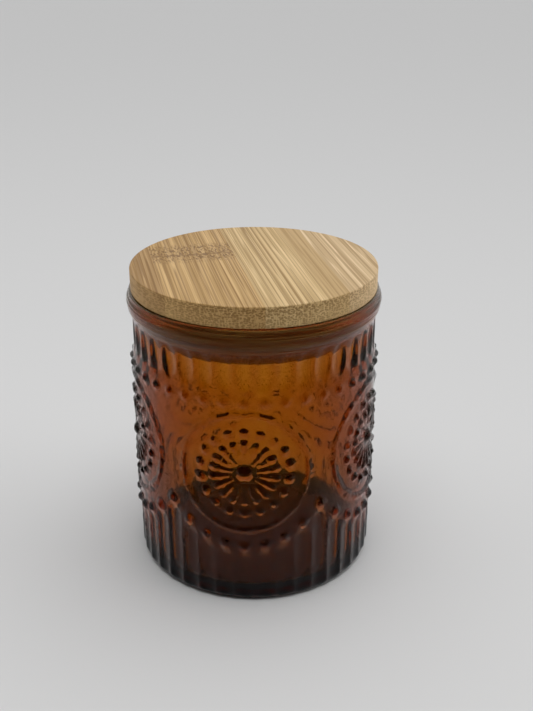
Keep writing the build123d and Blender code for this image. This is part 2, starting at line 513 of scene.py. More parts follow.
    def lay_ray(self, sheet: PointSheet, out: Point) -> None:
        """Points along one ray and round its head.

        Args:
            sheet: the sheet to add to.
            out: the ray's direction, across and up.
        """
        steps = 10
        for step in range(-1, steps + 1):
            part = step / steps
            radius = self.ray_tail + (self.ray_head - self.ray_tail) * part
            half = (self.ray_tail_width + (self.ray_head_width - self.ray_tail_width) * max(part, 0)) / 2
            for share in (-1.0, -0.8, -0.4, 0.0, 0.4, 0.8, 1.0):
                side = half * share + (0.1 if share == 1 else -0.1 if share == -1 else 0)
                spot = (out[0] * radius + out[1] * side, self.medallion_z + out[1] * radius - out[0] * side)
                sheet.add(spot, 0.09)
        head = (out[0] * self.ray_head, self.medallion_z + out[1] * self.ray_head)
        for share in (0.45, 0.8, 1.0, 1.12):
            reached = self.ray_head_width / 2 * share
            for spot in hoop(head, reached, reached, 16 if share > 0.6 else 9):
                sheet.add(spot, 0.09)

    def lay_columns(self, sheet: PointSheet, lift: float) -> None:
        """Points that follow the ovals, beads, swag dots and flutes.

        Args:
            sheet: the sheet to add to.
            lift: how far the neck lies further up the section than its own height.
        """
        for column in range(1 - self.columns_each // 2, self.columns_each // 2 + 1):
            middle = column * self.pitch
            self.lay_disc(sheet, (middle, self.swag_z(column)), self.swag, 24)
            self.lay_disc(sheet, (middle, self.bead_z), self.bead, 20)
            oval = (middle, self.oval_z + lift)
            for share in (0.25, 0.5, 0.72, 0.88, 1.0, 1.06):
                sizes = (self.oval_width / 2 * share, self.oval_length / 2 * share)
                for spot in hoop(oval, *sizes, max(8, int(34 * share))):
                    if abs(spot[0] - middle) < self.pitch / 2 - 0.05:
                        sheet.add(spot, 0.16)
            self.lay_flute(sheet, column, middle)

    def lay_flute(self, sheet: PointSheet, column: int, middle: float) -> None:
        """Points along one flute and round its top end.

        Args:
            sheet: the sheet to add to.
            column: the flute's column, 0 under the medallion's middle.
            middle: the arc of its middle.
        """
        half = self.flute_width / 2
        round_z = self.swag_z(column) - self.flute_drop - self.flute_end
        rows = int((round_z - self.heel_height) / 1.3)
        for row in range(rows + 1):
            up = self.heel_height + (round_z - self.heel_height) * row / rows
            for share in (-0.94, -0.78, -0.55, -0.28, 0.0, 0.28, 0.55, 0.78, 0.94):
                sheet.add((middle + half * share, up), 0.12)
        for share in (0.3, 0.55, 0.78, 0.94, 1.0, 1.06):
            count = int(18 * share) + 4
            for step in range(count + 1):
                angle = pi * (step / count - 0.5)
                across = half * share * sin(angle)
                if abs(across) < self.pitch / 2 - 0.08:
                    sheet.add((middle + across, round_z + self.flute_end * share * cos(angle)), 0.12)

    def rows_of(self, stops: list[Stop]) -> list[float]:
        """How far along the section each stop lies.

        Args:
            stops: the section's points.

        Returns:
            The distances, from 0.
        """
        rows = [0.0]
        for before, after in zip(stops, stops[1:]):
            rows.append(rows[-1] + hypot(after.radius - before.radius, after.height - before.height))
        return rows

    def lay_points(self, stops: list[Stop], rows: list[float]) -> tuple[PointSheet, int]:
        """Lay out every point of one sector.

        Args:
            stops: the section's points.
            rows: how far along the section each lies.

        Returns:
            The sheet, with the points of its outline first, and how many those are. Its second number is the
            distance along the section, less the offset that makes it the height over the wall.
        """
        sheet = PointSheet()
        wall_row = next(row for row, stop in zip(rows, stops) if stop.share == 1.0)
        base = wall_row - self.heel_height
        neck_row = next(row for row, stop in zip(rows, stops) if stop.height == self.neck_bottom)
        lift = neck_row - base - self.neck_bottom
        edge_rows = [row - base for row in rows]
        across_steps = self.columns_each * self.column_steps
        width = self.last_edge - self.first_edge
        across = [self.first_edge + width * i / across_steps for i in range(across_steps + 1)]
        outline = [(spot, edge_rows[0]) for spot in across]
        outline += [(self.last_edge, row) for row in edge_rows[1:]]
        outline += [(spot, edge_rows[-1]) for spot in reversed(across[:-1])]
        outline += [(self.first_edge, row) for row in reversed(edge_rows[1:-1])]
        for point in outline:
            sheet.add(point, 0.0)
        self.lay_medallion(sheet)
        self.lay_columns(sheet, lift)
        foot, head = self.heel_height, self.neck_top + lift
        for row in edge_rows[1:-1]:
            if foot < row < head:
                continue
            fine = row < foot + 0.01 and row > foot - 5
            steps = across_steps * (3 if fine else 2 if row > foot else 1) // 2
            for i in range(1, steps):
                spot = self.first_edge + width * i / steps
                sheet.add((spot, row), 0.1)
        row, odd = foot + self.fill_step, False
        while row < head:
            spot = self.first_edge + self.fill_step * (0.9 if odd else 0.5)
            while spot < self.last_edge - 0.3:
                sheet.add((spot, row), self.fill_step * 0.62)
                spot += self.fill_step
            row += self.fill_step * 0.866
            odd = not odd
        for point_row in range(len(sheet.points)):
            sheet.points[point_row] = (sheet.points[point_row][0], sheet.points[point_row][1] + base)
        return sheet, len(outline)

    def flat_sector(self) -> bpy.types.Object:
        """One fifth of the wall laid flat, with the section's radius and height kept on each point.

        Returns:
            An object whose points lie at arc and distance along the section.
        """
        stops = self.section()
        rows = self.rows_of(stops)
        sheet, border = self.lay_points(stops, rows)
        loop = [(i, (i + 1) % border) for i in range(border)]
        spots, _, faces, *_ = geometry.delaunay_2d_cdt([Vector(p) for p in sheet.points], loop, [], 0, 1e-6)
        mesh = bpy.data.meshes.new("flat sector")
        mesh.from_pydata([(spot.x * MM, spot.y * MM, 0.0) for spot in spots], [], faces)
        section = mesh.attributes.new("section", "FLOAT_VECTOR", "POINT")
        place = {}
        for number, spot in enumerate(spots):
            key = round(spot.y, 6)
            if key not in place:
                place[key] = self.stop_at(stops, rows, spot.y)
            section.data[number].vector = place[key]
        sector = bpy.data.objects.new("flat sector", mesh)
        bpy.context.scene.collection.objects.link(sector)
        return sector

    def stop_at(self, stops: list[Stop], rows: list[float], row: float) -> Triple:
        """The section at a distance along it.

        Args:
            stops: the section's points.
            rows: how far along the section each lies.
            row: the distance.

        Returns:
            Radius and height in metres, and the relief's share.
        """
        after = next((i for i, reached in enumerate(rows) if reached >= row - 1e-9), len(rows) - 1)
        before = max(after - 1, 0)
        span = rows[after] - rows[before]
        part = (row - rows[before]) / span if span > 0 else 0.0
        low, high = stops[before], stops[after]
        radius = low.radius + (high.radius - low.radius) * part
        height = low.height + (high.height - low.height) * part
        return radius * MM, height * MM, low.share + (high.share - low.share) * part

    def build(self, glass: bpy.types.Material) -> bpy.types.Object:
        """Press the sector's relief, turn it round the jar and close it.

        Args:
            glass: the material.

        Returns:
            The finished jar as a plain mesh.
        """
        sector = self.flat_sector()
        tree = PressTree(self, glass)
        return tree.press(sector, "pressed_glass_jar")


@dataclass
class PressTree:
    """The geometry tree that presses the relief and turns the sector round the jar."""

    jar: GlassJar
    glass: bpy.types.Material
    tree: bpy.types.NodeTree = field(init=False)
    inputs: bpy.types.Node = field(init=False)
    sizes: dict[str, float] = field(default_factory=dict)
    flute_start: float = 0.001
    weld: float = 0.004

    def __post_init__(self) -> None:
        """Start the tree with its geometry input and output."""
        self.tree = bpy.data.node_groups.new("pressed relief", "GeometryNodeTree")
        self.tree.interface.new_socket("Geometry", in_out="INPUT", socket_type="NodeSocketGeometry")
        self.tree.interface.new_socket("Geometry", in_out="OUTPUT", socket_type="NodeSocketGeometry")
        self.inputs = self.tree.nodes.new("NodeGroupInput")

    def size(self, name: str, value: float) -> Term:
        """A named input of the tree.

        Args:
            name: the input's name.
            value: its value on the modifier, in millimetres.

        Returns:
            The input's value in the tree.
        """
        if name not in self.sizes:
            self.tree.interface.new_socket(name, in_out="INPUT", socket_type="NodeSocketFloat")
            self.sizes[name] = value * MM
        return Term(self.tree, self.inputs.outputs[name])

    def node(self, kind: str, **settings: object) -> bpy.types.Node:
        """Add a node and set its own settings.

        Args:
            kind: Blender's name for the node.
            settings: the settings.

        Returns:
            The node.
        """
        made = self.tree.nodes.new(kind)
        for name, value in settings.items():
            setattr(made, name, value)
        return made

    def then(self, kind: str, shape: bpy.types.NodeSocket, **values: object) -> bpy.types.NodeSocket:
        """Pass a shape through one more node.

        Args:
            kind: Blender's name for the node.
            shape: the shape so far.
            values: the node's other inputs.

        Returns:
            The shape after it.
        """
        made = self.node(kind)
        self.tree.links.new(shape, made.inputs[0])
        for name, value in values.items():
            made.inputs[name].default_value = value
        return made.outputs[0]

    def medallion(self, arc: Term, height: Term) -> Term:
        """Relief of the medallion: dome, rays, dots and ring.

        Args:
            arc: distance round the wall from the medallion's middle.
            height: height.

        Returns:
            How far it stands up.
        """
        jar = self.jar
        up = height - self.size("Medallion Height", jar.medallion_z)
        distance = reach(arc, up)
        angle = arc.math("ARCTAN2", up)
        step = 2 * pi / jar.rays
        own_angle = angle - (angle / step).nearest() * step
        along = distance * own_angle.math("COSINE")
        across = distance * own_angle.math("SINE")
        dot_distance = reach(along - self.size("Dot Circle Radius", jar.dot_circle), across)
        dots = cap(dot_distance, self.size("Dot Radius", jar.dot), self.size("Dot Rise", jar.dot_rise))
        dome = cap(distance, self.size("Dome Radius", jar.dome), self.size("Dome Rise", jar.dome_rise))
        tail = self.size("Ray Tail", jar.ray_tail)
        head = self.size("Ray Head", jar.ray_head)
        part = ((along - tail) / (head - tail)).above(0.0).below(1.0)
        thin = self.size("Ray Tail Width", jar.ray_tail_width)
        wide = self.size("Ray Head Width", jar.ray_head_width)
        half = (thin + (wide - thin) * part) * 0.5
        beyond = along - along.above(tail).below(head)
        rise = self.size("Ray Rise", jar.ray_rise) * half / (wide * 0.5)
        rays = bump(reach(beyond, across) / half) * rise
        off_ring = (distance - self.size("Ring Radius", jar.ring_radius)).size()
        ring_share = off_ring / (self.size("Ring Width", jar.ring_width) * 0.5)
        ring = bump(ring_share) * self.size("Ring Rise", jar.ring_rise)
        return dots.above(dome).above(rays).above(ring)

    def columns(self, arc: Term, height: Term) -> tuple[Term, Term, Term]:
        """Relief of the columns.

        Args:
            arc: distance round the wall from the medallion's middle.
            height: height.

        Returns:
            How far beads and swag dots stand up, how deep ovals are and how deep flutes are.
        """
        jar = self.jar
        pitch = self.size("Column Pitch", jar.pitch)
        column = (arc / pitch).nearest()
        side = arc - column * pitch
        beads = cap(
            reach(side, height - self.size("Bead Height", jar.bead_z)),
            self.size("Bead Radius", jar.bead),
            self.size("Bead Rise", jar.bead_rise),
        )
        lift = (column / (jar.columns_each / 2)).squared() * self.size("Swag Rise", jar.swag_rise)
        swag_height = lift + self.size("Swag Low Height", jar.swag_low)
        swags = cap(
            reach(side, height - swag_height),
            self.size("Swag Dot Radius", jar.swag),
            self.size("Swag Dot Rise", jar.swag_dot_rise),
        )
        oval_across = side / (self.size("Oval Width", jar.oval_width) * 0.5)
        oval_up = height - self.size("Oval Height", jar.oval_z)
        oval_up = oval_up / (self.size("Oval Length", jar.oval_length) * 0.5)
        oval = (1.0 - oval_across.squared() - oval_up.squared()).above(0.0)
        oval = oval * self.size("Oval Depth", jar.oval_depth)
        flute_across = side / (self.size("Flute Width", jar.flute_width) * 0.5)
        end = self.size("Flute End", jar.flute_end)
        past = (height - swag_height + self.size("Flute Drop", jar.flute_drop) + end).above(0.0) / end
        flute = (1.0 - flute_across.squared() - past.squared()).above(0.0)
        flute = flute * self.size("Flute Depth", jar.flute_depth)
        return beads.above(swags), oval, flute

    def press(self, sector: bpy.types.Object, name: str) -> bpy.types.Object:
        """Run the tree on a flat sector.

        Args:
            sector: the flat sector.
            name: the finished piece's name.

        Returns:
            The closed jar.
        """
        links = self.tree.links
        arc, _, _ = parted(self.tree, self.node("GeometryNodeInputPosition").outputs[0])
        kept = self.node("GeometryNodeInputNamedAttribute", data_type="FLOAT_VECTOR")
        kept.inputs["Name"].default_value = "section"
        radius, height, share = parted(self.tree, kept.outputs["Attribute"])
        raised, oval, flute = self.columns(arc, height)
        wall = self.size("Wall Radius", self.jar.wall)
        azimuth = arc / wall
        out = radius + (self.medallion(arc, height) + raised - oval) * share
        over = (out - wall + flute).above(0.0) * (flute / (self.flute_start * MM)).below(1.0)
        out = out - over * share
        place = joined(X=out * azimuth.math("SINE"), Y=out * azimuth.math("COSINE") * -1.0, Z=height)
        wrap = self.node("GeometryNodeSetPosition")
        links.new(self.inputs.outputs["Geometry"], wrap.inputs["Geometry"])
        links.new(place, wrap.inputs["Position"])
        shape = self.then("GeometryNodeRealizeInstances", self.turn(wrap.outputs[0]))
        shape = self.then("GeometryNodeMergeByDistance", shape, Distance=self.weld * MM)
        shape = self.then("GeometryNodeSetShadeSmooth", shape)
        shape = self.then("GeometryNodeSetMaterial", shape, Material=self.glass)
        links.new(shape, self.node("NodeGroupOutput").inputs["Geometry"])
        return apply_tree(sector, self.tree, self.sizes, name)

    def turn(self, geometry_socket: bpy.types.NodeSocket) -> bpy.types.NodeSocket:
        """Copy a sector once for each medallion, turned about the jar's axis.

        Args:
            geometry_socket: the sector.

        Returns:
            The copies.
        """
        stands = self.node("GeometryNodePoints")
        stands.inputs["Count"].default_value = self.jar.medallions
        copies = self.node("GeometryNodeInstanceOnPoints")
        self.tree.links.new(stands.outputs[0], copies.inputs["Points"])
        self.tree.links.new(geometry_socket, copies.inputs["Instance"])
        index = Term(self.tree, self.node("GeometryNodeInputIndex").outputs[0])
        self.tree.links.new(joined(Z=index * (2 * pi / self.jar.medallions)), copies.inputs["Rotation"])
        return copies.outputs[0]


def apply_tree(
    carrier: bpy.types.Object, tree: bpy.types.NodeTree, sizes: dict[str, float], name: str
) -> bpy.types.Object:
    """Run a geometry tree on an object and keep the result as a plain mesh.

    Args:
        carrier: the object that the tree starts from; it is removed.
        tree: the geometry tree.
        sizes: the values of its named inputs.
        name: the finished piece's name.

    Returns:
        A new object with the result and no modifier.
    """
    modifier = carrier.modifiers.new("tree", "NODES")
    modifier.node_group = tree
    for socket in tree.interface.items_tree:
        if socket.in_out == "INPUT" and socket.name in sizes:
            modifier[socket.identifier] = sizes[socket.name]
    graph = bpy.context.evaluated_depsgraph_get()
    mesh = bpy.data.meshes.new_from_object(carrier.evaluated_get(graph), depsgraph=graph)
    carrier.modifiers.remove(modifier)
    bpy.data.objects.remove(carrier)
    mesh.name = name
    return placed(name, mesh)


def placed(name: str, mesh: bpy.types.Mesh) -> bpy.types.Object:
    """Put a mesh in the scene, at the origin.

    Args:
        name: the object's name.
        mesh: its mesh.

    Returns:
        The object.
    """
    made = bpy.data.objects.new(name, mesh)
    bpy.context.scene.collection.objects.link(made)
    return made


def turned_mesh(name: str, outline: list[Point], around: int) -> bpy.types.Mesh:
    """Turn an outline about Z into a closed mesh.

    Args:
        name: the mesh's name.
        outline: radius and height of each point in millimetres; it starts and ends on the axis, or is a ring.
        around: how many steps go round.

    Returns:
        The mesh, faces outwards.
    """
    made = bmesh.new()
    loops = []
    for radius, height in outline:
        if radius == 0:
            loops.append([made.verts.new((0, 0, height * MM))] * around)
            continue
        loop = []
        for step in range(around):
            angle = 2 * pi * step / around
            loop.append(made.verts.new((radius * MM * cos(angle), radius * MM * sin(angle), height * MM)))
        loops.append(loop)
    if outline[0][0] != 0:
        loops.append(loops[0])
    for low, high in zip(loops, loops[1:]):
        for step in range(around):
            after = (step + 1) % around
            corners = []
            for corner in (low[step], low[after], high[after], high[step]):
                if corner not in corners:
                    corners.append(corner)
            made.faces.new(corners)
    bmesh.ops.recalc_face_normals(made, faces=made.faces)
    mesh = bpy.data.meshes.new(name)
    made.to_mesh(mesh)
    made.free()
    mesh.shade_smooth()
    return mesh


# ---------------------------------------------------------------------------------------------------------
# The seal ring
# ---------------------------------------------------------------------------------------------------------


@dataclass
class SealRing:
    """The soft ring in the plug's groove, with fins that lean up and out to the bore.

    Sizes are in millimetres.
    """

    fins: int = 3
    inner: float = 32.67
    margin: float = 0.01
    band: float = 1.35
    chamfer: float = 0.1
    fin_root: float = 0.35
    fin_thickness: float = 0.62
    fin_lift: float = 0.9
    tip_up: float = 0.12
    tip_in: float = 0.08
    around: int = 192

    def build(self, silicone: bpy.types.Material) -> bpy.types.Object:
        """Turn the ring inside its CAD box.

        Args:
            silicone: the material.

        Returns:
            The ring.
        """
        low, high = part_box("seal_ring")
        bottom, top = low.z / MM + self.margin, high.z / MM - self.margin
        outer = high.x / MM - 2 * self.margin
        face = self.inner + self.band
        pitch = (top - bottom) / self.fins
        cut = self.chamfer
        outline: list[Point] = [(self.inner, bottom), (face - cut, bottom), (face, bottom + cut)]
        for fin in range(self.fins):
            root = bottom + pitch * fin + self.fin_root
            tip = root + self.fin_lift + self.tip_up
            near_tip = outer - self.tip_in
            outline += [(face, root), (face + 0.5, root + 0.25), (near_tip, tip - self.tip_up), (outer, tip)]
            outline += [(near_tip, tip + self.tip_up), (face + 0.4, root + self.fin_thickness + 0.2)]
            outline += [(face, root + self.fin_thickness)]
        outline += [(face, top - cut), (face - cut, top), (self.inner, top)]
        ring = placed("silicone_seal", turned_mesh("silicone seal", outline, self.around))
        ring.data.set_sharp_from_angle(angle=radians(40))
        ring.data.materials.append(silicone)
        return ring


# ---------------------------------------------------------------------------------------------------------
# The bamboo lid
# ---------------------------------------------------------------------------------------------------------


class Ply(Enum):
    """The two plies of the lid."""

    BOARD = "board"
    PLUG = "plug"


@dataclass
class BambooLid:
    """The round board and the plug under it, each glued from strips. Sizes are in millimetres."""

    grain_turn: float = 16.0
    strip_width: float = 26.5
    first_line: float = -31.0
    board_radius: float = 39.0
    round_edge: float = 0.35
    plug_radius: float = 34.3
    plug_edge: float = 0.8
    groove_radius: float = 32.6
    groove_below_board: float = 2.6
    groove_height: float = 6.0
    past_edge: float = 60.0
    middle_ring: float = 20.0
    around: int = 288

    def lines(self, ply: Ply) -> list[float]:
        """Glue lines across the grain, with a line past the edge on either side.

        Args:
            ply: which ply.

        Returns:
            How far across the grain each line lies from the lid's axis.
        """
        if ply is Ply.BOARD:
            lines = [self.first_line + self.strip_width * step for step in range(3)]
        else:
            lines = [-self.strip_width / 2, self.strip_width / 2]
        return [-self.past_edge] + lines + [self.past_edge]

    def board_outline(self) -> list[Point]:
        """Outline of the board, with its edges broken.

        Returns:
            Radius and height of each point, from the middle of its underside.
        """
        low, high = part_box("lid_strip_2")
        bottom, top = low.z / MM, high.z / MM
        wide, soft = self.board_radius, self.round_edge
        flat = (0, self.middle_ring, wide - 1.0, wide - soft - 0.1)
        outline: list[Point] = [(radius, bottom) for radius in flat]
        for centre, start in (((wide - soft, bottom + soft), -90), ((wide - soft, top - soft), 0)):
            for step in range(5):
                angle = radians(start + 90 * step / 4)
                outline.append((centre[0] + soft * cos(angle), centre[1] + soft * sin(angle)))
        return outline + [(radius, top) for radius in reversed(flat)]

    def plug_outline(self) -> list[Point]:
        """Outline of the plug with its groove and its broken lower edge.

        Returns:
            Radius and height of each point, from the middle of its underside.
        """
        low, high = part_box("plug_strip_2")
        bottom, top = low.z / MM, high.z / MM
        wide, groove, edge = self.plug_radius, self.groove_radius, self.plug_edge
        groove_high = top - self.groove_below_board
        groove_low = groove_high - self.groove_height
        flat = (0, self.middle_ring, wide - edge - 0.4, wide - edge)
        outline: list[Point] = [(radius, bottom) for radius in flat]
        outline += [(wide - 0.25 * edge, bottom + 0.3 * edge), (wide, bottom + edge)]
        outline += [(wide, bottom + edge + 0.2)]
        outline += [(wide, groove_low - 0.1), (wide - 0.1, groove_low), (groove, groove_low)]
        outline += [(groove, groove_high), (wide - 0.1, groove_high), (wide, groove_high + 0.1), (wide, top)]
        return outline + [(self.middle_ring, top), (0, top)]

    def strip(self, ply: Ply, number: int, bamboo: bpy.types.Material) -> bpy.types.Object:
        """One strip of a ply: the turned ply cut along two glue lines.

        Args:
            ply: which ply.
            number: which strip, from 1.
            bamboo: its material.

        Returns:
            The strip, closed.
        """
        outline = self.board_outline() if ply is Ply.BOARD else self.plug_outline()
        mesh = turned_mesh(f"{ply.value} strip {number}", outline, self.around)
        across = Vector((cos(radians(self.grain_turn)), sin(radians(self.grain_turn)), 0))
        lines = self.lines(ply)
        made = bmesh.new()
        made.from_mesh(mesh)
        for line, side in ((lines[number - 1], -1), (lines[number], 1)):
            everything = made.verts[:] + made.edges[:] + made.faces[:]
            cut = bmesh.ops.bisect_plane(
                made, geom=everything, plane_co=across * line * MM, plane_no=across * side, clear_outer=True
            )
            rim = [part for part in cut["geom_cut"] if isinstance(part, bmesh.types.BMEdge)]
            if rim:
                bmesh.ops.contextual_create(made, geom=rim)
        bmesh.ops.recalc_face_normals(made, faces=made.faces)
        made.to_mesh(mesh)
        made.free()
        piece = placed(f"bamboo_{ply.value}_{number}", mesh)
        mesh.shade_smooth()
        mesh.set_sharp_from_angle(angle=radians(35))
        mesh.materials.append(bamboo)
        return piece


# ---------------------------------------------------------------------------------------------------------
# Finishes
# ---------------------------------------------------------------------------------------------------------


def new_material(name: str) -> tuple[bpy.types.Material, bpy.types.Node]:
    """A material with one Principled shader.

    Args:
        name: the material's name.

    Returns:
        The material and its shader node.
    """
    material = bpy.data.materials.new(name)
    material.use_nodes = True
    material.node_tree.nodes.clear()
    shader = material.node_tree.nodes.new("ShaderNodeBsdfPrincipled")
    output = material.node_tree.nodes.new("ShaderNodeOutputMaterial")
    material.node_tree.links.new(shader.outputs[0], output.inputs["Surface"])
    return material, shader


def tone(red: float, green: float, blue: float) -> Colour:
    """Turn a colour as it looks on a screen into linear numbers.

    Args:
        red: its red, 0 to 255.
        green: its green.
        blue: its blue.

    Returns:
        The colour, opaque.
    """

    def linear(value: float) -> float:
        """One channel."""
        share = value / 255
        return share / 12.92 if share <= 0.04045 else ((share + 0.055) / 1.055) ** 2.4

    return linear(red), linear(green), linear(blue), 1.0


def mix(amount: Term, first: Term | Colour, second: Term | Colour) -> Term:
    """Mix two colours.

    Args:
        amount: 0 for the first, 1 for the second.
        first: a colour or a mixed one.
        second: a colour or a mixed one.

    Returns:
        The mixed colour.
    """
    node = amount.tree.nodes.new("ShaderNodeMix")
    node.data_type = "RGBA"
    node.clamp_factor = True
    amount.tree.links.new(amount.socket, node.inputs[0])
    for value, place in ((first, 6), (second, 7)):
        if isinstance(value, Term):
            amount.tree.links.new(value.socket, node.inputs[place])
        else:
            node.inputs[place].default_value = value
    return Term(amount.tree, node.outputs[2])


def pattern(kind: str, spot: Spot, sizes: Triple, **settings: float) -> bpy.types.Node:
    """Lay a texture over three distances.

    Args:
        kind: Blender's name for the texture's node.
        spot: the three distances, in millimetres.
        sizes: how long one patch of the texture is along each.
        settings: values of the texture's own inputs.

    Returns:
        The texture's node.
    """
    tree = spot[0].tree
    place = joined(**{axis: term / size for axis, term, size in zip("XYZ", spot, sizes)})
    made = tree.nodes.new(kind)
    made.inputs["Scale"].default_value = 1.0
    for name, value in settings.items():
        made.inputs[name].default_value = value
    tree.links.new(place, made.inputs["Vector"])
    return made


def noise(spot: Spot, sizes: Triple, detail: float = 2.0, roughness: float = 0.5) -> Term:
    """Soft noise, about 0.5 on average.

    Args:
        spot: the three distances that it runs over, in millimetres.
        sizes: how long one patch is along each.
        detail: how many finer layers it has.
        roughness: how strong they are.

    Returns:
        The noise.
    """
    made = pattern("ShaderNodeTexNoise", spot, sizes, Detail=detail, Roughness=roughness)
    return Term(made.id_data, made.outputs[0])


def feed(shader: bpy.types.Node, **terms: Term) -> None:
    """Link numbers or colours to a shader's inputs.

    Args:
        shader: the shader.
        terms: what each input gets, under its name with _ for a space.
    """
    for name, term in terms.items():
        term.tree.links.new(term.socket, shader.inputs[name.replace("_", " ")])


def object_spot(tree: bpy.types.NodeTree) -> Spot:
    """A point's place on the object.

    Args:
        tree: a material's tree.

    Returns:
        The place in millimetres.
    """
    place = tree.nodes.new("ShaderNodeTexCoord")
    return tuple(term / MM for term in parted(tree, place.outputs["Object"]))


def bumped(height: Term, depth: float, shader: bpy.types.Node) -> None:
    """Give a shader a relief.

    Args:
        height: the relief, 0 to 1.
        depth: how deep it goes, in millimetres.
        shader: the shader.
    """
    relief = height.tree.nodes.new("ShaderNodeBump")
    relief.inputs["Strength"].default_value = 1.0
    relief.inputs["Distance"].default_value = depth * MM
    height.tree.links.new(height.socket, relief.inputs["Height"])
    height.tree.links.new(relief.outputs[0], shader.inputs["Normal"])


@dataclass(frozen=True)
class AmberGlass:
    """Clear amber glass, coloured all through: polished outside, and a little wavy and dull inside. Its
    reflection, rim, heel and base carry painted light and shade.

    A pair of heights, or of radii, is where a change over the surface begins and where it is complete. They
    are in millimetres.
    """

    density: float = 950.0
    passed: Colour = (0.848, 0.65, 0.03, 1.0)
    index: float = 1.5
    bore: Point = (36.3, 36.1)
    floor: Point = (3.2, 3.4)

    # Painted reflection: the facing reflection is tinted amber and dimmed, greyer and stronger low down,
    # golden at the rim's crest and near black at the heel, by height, in place of the light and shade that the
    # room would show in it.
    painted_reflection_tint: Colour = (0.22, 0.16, 0.08, 1.0)
    low_painted_reflection_tint: Colour = (0.34, 0.32, 0.33, 1.0)
    low: Point = (42.0, 22.0)
    crest_painted_reflection_tint: Colour = (0.5, 0.24, 0.02, 1.0)
    crest: Point = (88.0, 90.0)
    heel_painted_reflection_tint: Colour = (0.16, 0.16, 0.17, 1.0)
    heel: Point = (5.6, 3.6)

    # Painted glow: the rim is tinted golden and given a streaked golden diffuse share, standing in for light
    # piped up the wall into the rim.
    rim_painted_glow_colour: Colour = (0.92, 0.58, 0.17, 1.0)
    rim_painted_glow_heights: Point = (84.5, 86.0)
    rim: Point = (84.0, 87.0)
    rim_painted_glow: float = 0.075
    # Painted shade: the outside of the base passes less light, and the bearing ring and heel almost none, in
    # place of the shadowed floor under the jar.
    heel_painted_shade: Colour = (0.02, 0.04, 0.06, 1.0)
    base_painted_shade: Colour = (0.3, 0.34, 0.38, 1.0)
    foot: Point = (6.6, 5.6)
    bearing_ring: Point = (31.2, 31.8)
    residue: Colour = (0.3, 0.3, 0.3, 1.0)

    dullness: float = 0.075
    duller: Point = (45.0, 20.0)
    waves: float = 0.06
    outside_waves: float = 0.15
    mould_lines: float = 5.0

    def material(self) -> bpy.types.Material:
        """The glass as a clear shader with a coloured inside.

        Returns:
            The material.
        """
        material, shader = new_material("amber glass")
        tree = material.node_tree
        spot = object_spot(tree)
        x, y, z = spot
        inside = reach(x, y).ramp(*self.bore) * z.ramp(*self.floor)
        patches = noise(spot, (9.0, 9.0, 14.0))
        lines = noise(spot, (40.0, 40.0, 0.55), 1.0)
        rim = z.ramp(*self.rim) * (1.0 - inside)
        wavy = inside * (1.0 - self.outside_waves) + self.outside_waves
        ripples = noise(spot, (2.4, 2.4, 5.0), 3.0) * wavy
        bumped(ripples + lines * rim * self.mould_lines, self.waves, shader)
        # Painted glow: the golden diffuse share over the rim, streaked along the mould lines; it is no film on
        # the glass.
        film = rim * (lines.ramp(0.44, 0.6) * 0.75 + 0.25)
        feed(
            shader,
            Base_Color=self.tint(spot, inside, patches),
            Roughness=inside * (patches + 0.5) * (z.ramp(*self.duller) + 1.0) * self.dullness,
            Transmission_Weight=1.0 - film * self.rim_painted_glow,
            # Painted reflection, set by height.
            Specular_Tint=self.painted_reflection_by_height(z),
        )
        shader.inputs["IOR"].default_value = self.index
        self.colour_inside(tree)
        return material

    def tint(self, spot: Spot, inside: Term, patches: Term) -> Term:
        """What the surface lets through: golden at the rim as part of its painted glow, less at the base and
        almost nothing at the heel as painted shade, and less at specks of residue.

        Args:
            spot: the point's place on the object.
            inside: 1 on the bore and the floor and 0 outside.
            patches: broad noise that gathers the specks.

        Returns:
            The colour.
        """
        x, y, z = spot
        specks = noise(spot, (1.3, 1.3, 0.9)).ramp(0.68, 0.73) * inside
        # The rim's golden tint is part of its painted glow.
        clear = mix(z.ramp(*self.rim_painted_glow_heights), WHITE, self.rim_painted_glow_colour)
        clear = mix(specks * patches.ramp(0.45, 0.6), clear, self.residue)
        # Painted shade over the base, darkest at the bearing ring and heel.
        foot = mix(reach(x, y).ramp(*self.bearing_ring), self.base_painted_shade, self.heel_painted_shade)
        return mix(z.ramp(*self.foot) * (1.0 - inside), clear, foot)

    def painted_reflection_by_height(self, z: Term) -> Term:
        """Painted reflection: the colour that tints what the glass throws back when it is looked at squarely,
        amber and dim, greyer low down, golden at the crest and near black at the heel.

        Args:
            z: height.

        Returns:
            The colour there.
        """
        colour = mix(z.ramp(*self.low), self.painted_reflection_tint, self.low_painted_reflection_tint)
        colour = mix(z.ramp(*self.crest), colour, self.crest_painted_reflection_tint)
        return mix(z.ramp(*self.heel), colour, self.heel_painted_reflection_tint)

    def colour_inside(self, tree: bpy.types.NodeTree) -> None:
        """Colour the light by how far it runs through the glass.

        Args:
            tree: the material's tree.
        """
        inside = tree.nodes.new("ShaderNodeVolumeAbsorption")
        inside.inputs["Color"].default_value = self.passed
        inside.inputs["Density"].default_value = self.density
        output = next(node for node in tree.nodes if node.type == "OUTPUT_MATERIAL")
        tree.links.new(inside.outputs[0], output.inputs["Volume"])


